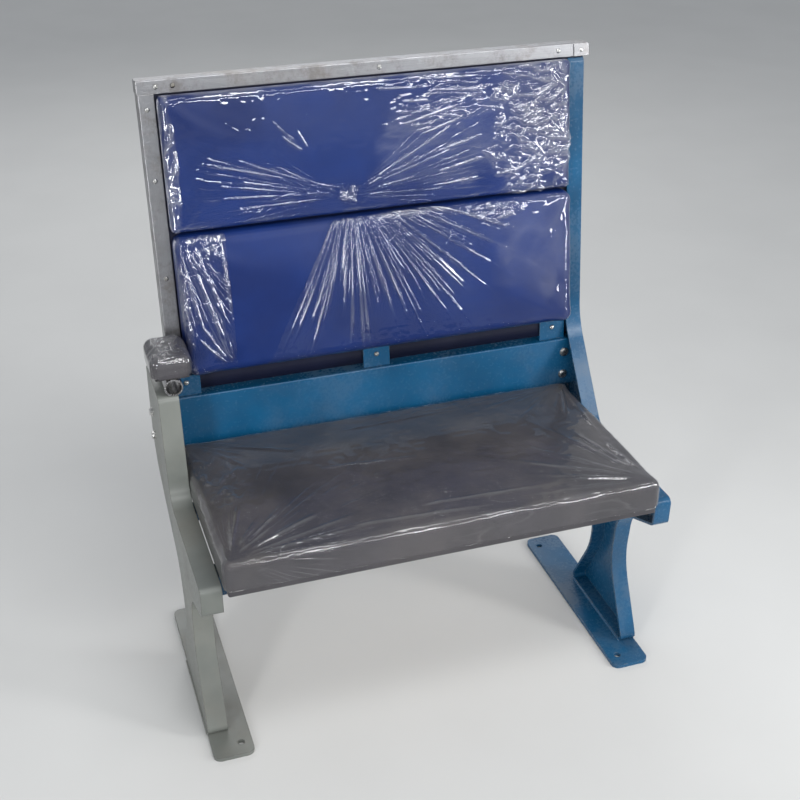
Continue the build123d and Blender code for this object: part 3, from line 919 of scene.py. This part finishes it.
lowerEndFilm = {
    "name": "lowerEndFilm", "foldRise": 0.0042, "gap": 0.0007, "cell": 0.0018, "over": 0.014, "seed": 41,
    "ripple": 0.0018, "rippleCell": 0.016, "pleat": 0.0022, "onSides": 0.0, "crest": 0.8,
    "fans": [
        ((-0.385, 0.14), -78, -52, 6, 2.0, 0.02, 0.3, 0.007, 0.0044),
        ((-0.30, -0.13), 100, 128, 5, 2.0, 0.02, 0.22, 0.006, 0.0036),
    ],
    "folds": [
        ((-0.37, 0.115), (-0.295, -0.14), 0.007, 0.005), ((-0.355, 0.12), (-0.3, -0.06), 0.006, 0.0044),
        ((-0.306, 0.125), (-0.296, -0.06), 0.005, 0.0042),
    ],
    "bunches": [
        ((-0.33, 0.115), (0.05, 0.03), 0.015, 1.0, 0.004, 0.6),
        ((-0.385, 0.0), (0.014, 0.15), 0.016, 0.5, 0.003, 0.9),
    ],
    "looks": {**filmLooks, "centre": (-0.385, 0.14), "rays": 16.0, "reach": 0.4, "milkAndPaintedHaze": 0.06,
              "layers": 0.18, "wisps": (40.0, 6.0), "crumple": (60.0, 48.0), "crumpled": 1.4},
}
seatFilm = {
    "name": "seatFilm", "foldRise": 0.0034, "gap": 0.0007, "cell": 0.0027, "over": 0.068, "seed": 51,
    "ripple": 0.0018, "rippleCell": 0.022, "pleat": 0.0024, "onSides": 0.35, "crest": 0.5,
    "fans": [
        ((-0.39, -0.2), 8, 82, 10, 4.0, 0.03, 0.3, 0.009, 0.0036),
        ((0.39, -0.2), 98, 172, 10, 4.0, 0.03, 0.32, 0.009, 0.0036),
        ((-0.39, 0.2), -80, -10, 8, 4.0, 0.03, 0.26, 0.009, 0.0034),
        ((0.39, 0.2), 190, 262, 8, 4.0, 0.03, 0.26, 0.009, 0.0034),
    ],
    "folds": [
        ((-0.2, -0.17), (0.12, -0.185), 0.008, 0.0026), ((-0.05, -0.15), (0.25, -0.16), 0.008, 0.0026),
        ((-0.1, 0.15), (0.2, 0.165), 0.009, 0.003), ((-0.18, 0.02), (0.04, 0.0), 0.008, 0.0022),
    ],
    "bunches": [
        ((-0.35, 0.06), (0.06, 0.12), 0.024, 0.7, 0.005, 0.5),
        ((0.12, 0.19), (0.2, 0.03), 0.022, 1.5, 0.004, 0.5),
    ],
    "looks": {**filmLooks, "centre": (-0.39, -0.2), "rays": 12.0, "reach": 0.5, "rough": 0.035,
              "wisps": (7.0, 26.0), "crumple": (40.0, 60.0), "crumpled": 1.2},
}
armFilm = {
    "name": "armFilm", "foldRise": 0.0018, "gap": 0.0005, "cell": 0.0012, "over": 0.026, "seed": 61,
    "ripple": 0.0014, "rippleCell": 0.012, "pleat": 0.0018, "onSides": 0.5, "crest": 0.5,
    "fans": [
        ((-0.036, -0.052), 15, 75, 6, 5.0, 0.008, 0.08, 0.004, 0.0019),
        ((0.036, 0.052), 195, 255, 6, 5.0, 0.008, 0.08, 0.004, 0.0019),
    ],
    "folds": [((-0.02, -0.04), (0.022, -0.036), 0.004, 0.0016)],
    "bunches": [((0.0, 0.0), (0.034, 0.05), 0.012, 1.0, 0.002, 0.5)],
    "looks": {**filmLooks, "centre": (-0.036, -0.052), "rays": 8.0, "reach": 0.12, "rough": 0.035,
              "wisps": (30.0, 50.0), "crumple": (90.0, 90.0), "crumpled": 1.2},
}
endCut = -0.296               # where the end film is cut off, from the lower pad's middle
filmSheet(upperFilm, upperPad, evenSheet(upperFilm, upperPad))
filmSheet(lowerFanFilm, lowerPad, fanSheet(lowerFanFilm, lowerPad))
filmSheet(lowerEndFilm, lowerPad, evenSheet(lowerEndFilm, lowerPad, endCut))
filmSheet(seatFilm, seatPad, evenSheet(seatFilm, seatPad))
filmSheet(armFilm, armPad, evenSheet(armFilm, armPad))


# Board cover and squab hem

coverSpec = {"turnedUnder": 0.02, "off": 0.00015, "inset": 0.0005, "across": 40, "along": 30, "under": 6}
hemSpec = {
    "reach": 0.026, "thick": 0.0009, "count": 1600, "pleat": 0.0012, "corner": 0.002,
    "side": ((-0.009, 0.0035), (-0.003, 0.0038), (0.0005, 0.003), (0.004, 0.0014), (0.011, 0.0012)),
    "rearOff": 0.0012,        # the most it may stand off at the beam
    "stapleGap": 0.034, "stapleInset": 0.014, "stapleHalf": 0.005, "stapleRise": 0.0007,
    "stapleWire": (0.0005, 0.0004),  # half the wire's width and height
    "stapleOff": 0.0008,      # its ends below the hem's face
}


def boardCover():
    # coated cloth stretched over the board's front, seen in the gaps round the pads; its near-black colour is
    # painted shade for those gaps
    low, high = tiltedBox("back_board", lean)
    inset, off = coverSpec["inset"], coverSpec["off"]
    across = np.linspace(low[0] + inset, high[0] - inset, coverSpec["across"])
    under = np.linspace(coverSpec["turnedUnder"], 0.0, coverSpec["under"])[:-1]
    along = np.linspace(low[2] - off, high[2] - inset, coverSpec["along"])
    behind = np.concatenate((under - off, np.full_like(along, -off)))
    level = np.concatenate((np.full_like(under, along[0]), along))
    flat = np.concatenate((along[0] - under, along))
    y, x = np.meshgrid(behind, across, indexing="ij")
    z, down = (np.meshgrid(line, across, indexing="ij")[0] for line in (level, flat))
    cover = meshObject("boardCover", toRow(np.stack((x, y, z), -1), lean), gridFaces(*x.shape),
                       flat=np.stack((x, down), -1))
    if readNormals(cover.data).mean(0)[1] > 0:
        cover.data.flip_normals()
    settle(cover, materials["coverVinylPaintedShade"])


def ringOutline(low, high, corner, count):
    # a rounded rectangle as one ring of evenly spaced points, with each point's outward direction:
    # from the low corner a straight side and an arc in turn, four times, by distance along the outline
    wide, long = high[0] - low[0] - 2 * corner, high[1] - low[1] - 2 * corner
    arc = corner * pi / 2
    way = np.linspace(0, 2 * (wide + long) + 4 * arc, count, endpoint=False)
    x, y, outX, outY = (np.zeros(count) for _ in range(4))
    left, right, near, far = low[0] + corner, high[0] - corner, low[1] + corner, high[1] - corner
    cores = (left, near), (right, near), (right, far), (left, far)
    begin = 0.0
    for side in range(8):
        bends, facing = side % 2, (side // 2 - 1) * pi / 2
        length = arc if bends else (wide, long)[side // 2 % 2]
        here = (way >= begin) & (way < begin + length)
        step = way[here] - begin
        turn, ahead = facing + bends * step / corner, (1 - bends) * step
        core = cores[(side + 1) // 2 % 4]
        outX[here], outY[here] = np.cos(turn), np.sin(turn)
        x[here] = core[0] + corner * outX[here] - ahead * sin(facing)
        y[here] = core[1] + corner * outY[here] + ahead * cos(facing)
        begin += length
    return x, y, outX, outY, way


def squabHem():
    # the squab's cloth turned under its pan: down its edge and in along its underside, gathered a little
    low, high = tiltedBox("squab_pan", seatSlope)
    x, y, outX, outY, way = ringOutline(low, high, hemSpec["corner"], hemSpec["count"])
    railed = np.zeros(hemSpec["count"])
    for rail in ("front_rail", "rear_rail"):
        first, last = tiltedBox(rail, seatSlope)
        inside = smoothStep(0.012, 0.002, np.maximum(first[1] - y, y - last[1]))
        railed = np.maximum(railed, inside * (np.abs(outX) > 0.9))
    reach = hemSpec["reach"] * (1 - 0.96 * railed) * (1 + 0.12 * softNoise(way, way * 0, 0.03, 71))
    gathered = hemSpec["pleat"] * np.abs(softNoise(way, way * 0, 0.009, 72)) * (1 - railed)
    rows = []
    for drop, off in hemSpec["side"]:
        out = np.where(outY > 0.5, min(off, hemSpec["rearOff"]), off)
        rows.append((x + outX * out, y + outY * out, high[2] - drop + 0 * way))
    for inset in np.linspace(-0.0004, 1, 9):
        hang = hemSpec["thick"] * (1 - railed) + gathered * np.sin(pi * min(max(inset, 0), 1)) ** 0.5
        rows.append((x - outX * inset * reach, y - outY * inset * reach, low[2] - hang))
    points = np.stack([np.stack(row, -1) for row in rows])
    hem = meshObject("squabHem", toRow(points, seatSlope), gridFaces(*points.shape[:2], wrap=True))
    if readNormals(hem.data)[-hemSpec["count"]:].mean(0)[2] > 0:
        hem.data.flip_normals()
    settle(hem, materials["greyVinyl"])
    return x, y, outX, outY, railed, low[2] - hemSpec["thick"]


# Fixings

def revolved(profile, count):
    # a profile of (radius, height) pairs turned round the Z axis, as a grid of rings
    profile = np.array(profile)
    turn = np.linspace(0, tau, count, endpoint=False)[None, :]
    radius, height = profile[:, 0][:, None], profile[:, 1][:, None]
    return np.stack((radius * np.cos(turn), radius * np.sin(turn), height + 0 * turn), -1)


def panHead(radius, height):
    # domed head with a cross recess: the dome less a cross that deepens to the middle
    rings = radius * np.linspace(1.0, 0.03, 12)
    grid = revolved([(radius, 0.0), *((r, height * (1 - (r / radius) ** 3.2)) for r in rings)], 32)
    x, y = grid[..., 0] / radius, grid[..., 1] / radius
    arm = smoothStep(0.2, 0.12, np.minimum(np.abs(x), np.abs(y)))
    arm *= smoothStep(0.62, 0.5, np.maximum(np.abs(x), np.abs(y)))
    grid[2:, :, 2] -= (arm * height * 0.65)[2:]
    return grid


def hexHead(across, height, washer):
    # hexagon head with a turned chamfer on a plain washer: each ring's radius follows the hexagon's flats
    turn = np.linspace(0, tau, 36, endpoint=False)
    flat = across / 2 / np.cos((turn % (pi / 3)) - pi / 6)
    disc = np.full_like(turn, across / 2 * 0.96)
    rows = [(np.full_like(turn, washer), 0.0), (np.full_like(turn, washer), 0.0014),
            (np.full_like(turn, across * 0.56), 0.0016), (flat, 0.0017), (flat, height * 0.86),
            (np.minimum(flat, disc * 1.03), height), (disc * 0.7, height), (disc * 0.2, height * 0.97)]
    return np.stack([np.stack((r * np.cos(turn), r * np.sin(turn), np.full_like(turn, h)), -1)
                     for r, h in rows])


def domeHead(radius, height):
    # plain rivet head
    turns = np.linspace(0.15, 1.5, 7)
    return revolved([(radius, 0.0), *((radius * cos(t), height * sin(t)) for t in turns)], 20)


def repeated(name, grid, places, finish, sharp=40):
    # one small closed form set at many places, each turned so that its Z axis follows the given direction
    points, quads, triangles = shellParts(grid)
    spot, up, spin = (np.array([place[i] for place in places], float) for i in range(3))
    up /= np.linalg.norm(up, axis=1)[:, None]
    helper = np.where(np.abs(up[:, 2:]) < 0.9, (0.0, 0.0, 1.0), (1.0, 0.0, 0.0))
    side = np.cross(helper, up)
    side /= np.linalg.norm(side, axis=1)[:, None]
    third, spin = np.cross(up, side), spin[:, None]
    axes = np.stack((side * np.cos(spin) + third * np.sin(spin),
                     third * np.cos(spin) - side * np.sin(spin), up), 1)
    every = np.einsum("nj,kji->kni", points, axes) + spot[:, None]
    settle(copies(name, every, quads, triangles), materials[finish], sharp)


def leanPlace(x, y, z, way, spin=0.0):
    # a fixing's place and direction given on the leaning board's axes
    at = toRow(np.array((x, y, z), float), lean)
    ahead = toRow(np.array((x, y, z), float) + np.array(way, float), lean)
    return at, ahead - at, spin


fixings = {
    "trimScrew": (0.0046, 0.0022), "rivet": (0.004, 0.0018), "clipScrew": (0.0052, 0.0026),
    "bolt": (0.013, 0.0062, 0.0095),  # across its flats, height, washer's radius
    "topFront": (0.032, 0.062, 0.012, 0.06),  # from the aisle end twice, the middle and the window end
    "topRear": (0.045, 0.29, 0.29, 0.05),  # from the aisle end twice and the window end twice
    "trimLine": 0.014,        # screws' line from the aisle trim's edge
    "trimFoot": (0.02, 0.03),  # lowest screw above the aisle trim's foot, front and rear
    "aisleFront": (0.325, 0.505, 0.63), "aisleRear": (0.4, 0.6), "windowScrews": (0.2, 0.4, 0.6),
    "boltFoot": 0.026, "boltHead": 0.03, "boltSide": 0.03,  # from the beam's bottom, top and ends
    "webBolt": 0.02, "windowLine": 0.013, "rivetInset": 0.016, "clipTop": 0.014,
}


def trimFixings():
    # screws through the trims' lips, front and back, each turned its own way, and rivets in the window corner
    low, high = tiltedBox("top_trim", lean)
    middle, places = (low[2] + high[2]) / 2, []
    first, second, centre, last = fixings["topFront"]
    for x in (low[0] + first, low[0] + second, centre, high[0] - last):
        places.append(leanPlace(x, low[1], middle, (0, -1, 0), x * 31))
    first, second, third, last = fixings["topRear"]
    for x in (low[0] + first, low[0] + second, high[0] - third, high[0] - last):
        places.append(leanPlace(x, high[1], middle, (0, 1, 0), x * 17))
    low, high = tiltedBox("aisle_trim", lean)
    line, (footFront, footRear) = low[0] + fixings["trimLine"], fixings["trimFoot"]
    for z in (low[2] + footFront, *fixings["aisleFront"]):
        places.append(leanPlace(line, low[1], z, (0, -1, 0), z * 23))
    for z in (low[2] + footRear, *fixings["aisleRear"]):
        places.append(leanPlace(line, high[1], z, (0, 1, 0), z * 29))
    repeated("trimScrews", panHead(*fixings["trimScrew"]), places, "zincPlate")
    low, high = tiltedBox("window_corner", lean)
    middle = (low + high) / 2
    rivets = [leanPlace(high[0] - fixings["rivetInset"], low[1], middle[2], (0, -1, 0)),
              leanPlace(high[0], middle[1], middle[2], (1, 0, 0))]
    repeated("cornerRivets", domeHead(*fixings["rivet"]), rivets, "zincPlate")


capSpec = {
    "corner": 0.0024, "count": 120,
    "rim": ((0.0002, 0.0), (-0.0008, 0.0), (-0.0012, -0.0005), (-0.0012, -0.002)),
}


def trimEnd():
    # thin cap that closes the top trim's open end: rings of its outline, each at its place along the trim
    # and so far off the outline, which turns the edge over a little
    low, high = tiltedBox("top_trim", lean)
    y, z, outY, outZ, way = ringOutline(low[1:], high[1:], capSpec["corner"], capSpec["count"])
    grid = np.stack([np.stack((np.full_like(y, low[0] + x), y + outY * off, z + outZ * off), -1)
                     for x, off in capSpec["rim"]])
    settle(shell("topTrimEnd", toRow(grid, lean)), materials["trimAcross"], 30)


def frameFixings():
    # hexagon bolts through the beam's ends and the standards' webs, pan screws through the clips
    low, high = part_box("rear_beam")
    levels = (low.z + fixings["boltFoot"], high.z - fixings["boltHead"])
    webAisle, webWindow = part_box("aisle_standard")[0].x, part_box("window_standard")[1].x
    bolts = [((x, low.y, z), (0, -1, 0), x * 13 + z)
             for x in (low.x + fixings["boltSide"], high.x - fixings["boltSide"]) for z in levels]
    bolts += [((x, low.y + fixings["webBolt"], z), (way, 0, 0), z * 7)
              for x, way in ((webAisle, -1), (webWindow, 1)) for z in levels]
    repeated("frameBolts", hexHead(*fixings["bolt"]), bolts, "zincPlate", 30)
    screws = []
    for clip in ("aisle_clip", "middle_clip", "window_clip"):
        first, last = tiltedBox(clip, lean)
        middle, top = (first[0] + last[0]) / 2, last[2] - fixings["clipTop"]
        screws += [leanPlace(middle, y, top, (0, way, 0), first[0] * 9)
                   for y, way in ((first[1], -1), (last[1], 1))]
    screws += [leanPlace(webWindow - originX, fixings["windowLine"], z, (1, 0, 0), z * 11)
               for z in fixings["windowScrews"]]
    repeated("clipScrews", panHead(*fixings["clipScrew"]), screws, "zincPlate")


welds = {"radius": 0.0032, "step": 0.0011, "ripple": 0.0042, "rippleDepth": 0.18, "uneven": 0.06,
         "front": -0.337, "rear": -0.118}


def weldBead(start, end):
    # points and faces of a weld along a joint: a tube of overlapping ripples, half sunk in the corner
    start, end = np.array(start, float), np.array(end, float)
    length = np.linalg.norm(end - start)
    share = np.linspace(0, 1, max(int(length / welds["step"]), 8))
    run = (end - start) / length
    side = np.cross(run, (0.0, 0.0, 1.0))
    side /= np.linalg.norm(side)
    up = np.cross(side, run)
    phase = (share * length / welds["ripple"]) % 1
    swell = 1 - welds["rippleDepth"] * (1 - np.sqrt(phase))
    swell += welds["uneven"] * softNoise(share * length, share * 0, 0.01, 81)
    swell *= welds["radius"]
    swell *= np.sqrt(np.clip(np.minimum(share, 1 - share) * length / welds["radius"], 0.02, 1))
    turn = np.linspace(0, tau, 10, endpoint=False)
    centre = start + share[:, None] * (end - start)
    ring = np.cos(turn)[None, :, None] * side + np.sin(turn)[None, :, None] * up
    return shellParts(centre[:, None] + swell[:, None, None] * ring)


def weldBeads(standard, foot, finish):
    # a bead down each side of a standard where it stands on its foot, the two as one piece
    low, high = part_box(standard)
    front, rear, top = originY + welds["front"], originY + welds["rear"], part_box(foot)[1].z
    beads = [weldBead((x, front, top), (x, rear, top)) for x in (low.x, high.x)]
    every, faces = np.stack([bead[0] for bead in beads]), beads[0][1:]
    settle(copies(standard + "Welds", every, *faces), materials[finish])


def staples(x, y, outX, outY, railed, level):
    # wire staples along the hem, lying across it
    step = int(hemSpec["stapleGap"] / np.hypot(np.diff(x[:2]), np.diff(y[:2]))[0])
    half, inset = hemSpec["stapleHalf"], hemSpec["stapleInset"]
    turn = np.linspace(0, tau, 6, endpoint=False)
    along = np.linspace(-half, half, 7)
    rise, (wide, tall) = hemSpec["stapleRise"] * (1 - (along / half) ** 6), hemSpec["stapleWire"]
    grid = np.stack([np.stack((np.full_like(turn, s), wide * np.cos(turn), r + tall * np.sin(turn)), -1)
                     for s, r in zip(along, rise)])
    level = level - hemSpec["stapleOff"]
    places = []
    for index in np.flatnonzero(railed[::step] < 0.02) * step:
        at = np.array((x[index] - outX[index] * inset, y[index] - outY[index] * inset, level))
        spin = float(np.arctan2(outY[index], outX[index])) + 0.3 * sin(index)
        places.append((toRow(at, seatSlope), (0, 0, -1), spin))
    repeated("staples", grid, places, "zincPlate")


boardCover()
staples(*squabHem())
trimFixings()
trimEnd()
frameFixings()
weldBeads("aisle_standard", "aisle_foot", "greyGreenEnamel")
weldBeads("window_standard", "window_foot", "tealEnamel")
print("cover, hem, staples, fixings and welds made")


# Floor, light and camera

studio = {
    "floorSide": 40.0, "floorColour": linear(206, 206, 204), "floorMottle": linear(198, 198, 196),
    "world": linear(225, 229, 235), "worldLevel": 0.62, "backdrop": linear(190, 191, 193),
    "eye": (-0.659, -1.980, 1.740), "aim": (-0.005, 0.0, 0.55), "lens": 58.0,
}
lamps = {                     # place, aim, size, power, spread in degrees
    "windowSide": ((2.0, -1.5, 1.05), (0.1, 0, 0.75), (0.3, 1.5), 12, 100.0),
    "ahead": ((0.7, -2.6, 2.05), (0.1, 0, 0.75), (2.6, 0.22), 12, 110.0),
    "aisleSide": ((-1.95, -2.1, 1.05), (-0.1, 0, 0.75), (0.3, 1.5), 11, 100.0),
    "overhead": ((0.3, -1.0, 2.9), (0, 0, 0.5), (1.8, 0.6), 22, 180.0),
    "behind": ((0.4, 3.2, 2.8), (0, 0, 0.7), (2.6, 1.4), 40, 180.0),
}


def stageFloor():
    half = studio["floorSide"] / 2
    corners = np.array(((-half, -half, 0), (half, -half, 0), (half, half, 0), (-half, half, 0)))
    floor = meshObject("stageFloor", corners, np.array(((0, 1, 2, 3),)))
    g = Finish("stageFloor")
    mottle = g.ramp(g.noise(g.place, 3.0, 4.0), 0.3, 0.7, 0.0, 0.3)
    colour = g.mix(mottle, studio["floorColour"], studio["floorMottle"])
    floor.data.materials.append(g.close({"Base Color": colour, "Roughness": 0.85}))


def studioWorld():
    world = bpy.data.worlds.new("studio")
    world.use_nodes = True
    g = Graph(world.node_tree)
    g.tree.nodes.clear()
    soft = g.add("Background", {"Color": studio["world"], "Strength": studio["worldLevel"]})
    seen = g.add("Background", {"Color": studio["backdrop"], "Strength": 1.0})
    ray = g.add("LightPath").outputs["Is Camera Ray"]
    mixed = g.add("MixShader", {0: ray, 1: soft.outputs[0], 2: seen.outputs[0]})
    g.add("OutputWorld", {"Surface": mixed.outputs[0]})
    bpy.context.scene.world = world


def placed(name, data, place, aim):
    # a lamp or camera set at its place and turned to what it aims at
    holder = bpy.data.objects.new(name, data)
    holder.location = place
    holder.rotation_euler = (Vector(aim) - Vector(place)).to_track_quat("-Z", "Y").to_euler()
    bpy.context.scene.collection.objects.link(holder)
    return holder


def softBox(name, place, aim, size, power, spread):
    lamp = bpy.data.lights.new(name, "AREA")
    lamp.shape = "RECTANGLE"
    lamp.size, lamp.size_y = size
    lamp.energy = power
    lamp.spread = radians(spread)
    placed(name, lamp, place, aim).visible_camera = False


stageFloor()
studioWorld()
photoEye = bpy.data.cameras.new("photoEye")
photoEye.lens = studio["lens"]
photoEye.sensor_width = 36.0
bpy.context.scene.camera = placed("photoEye", photoEye, studio["eye"], studio["aim"])
for name, values in lamps.items():
    softBox(name, *values)
bpy.context.scene.view_settings.view_transform = "Standard"

print("scene made")
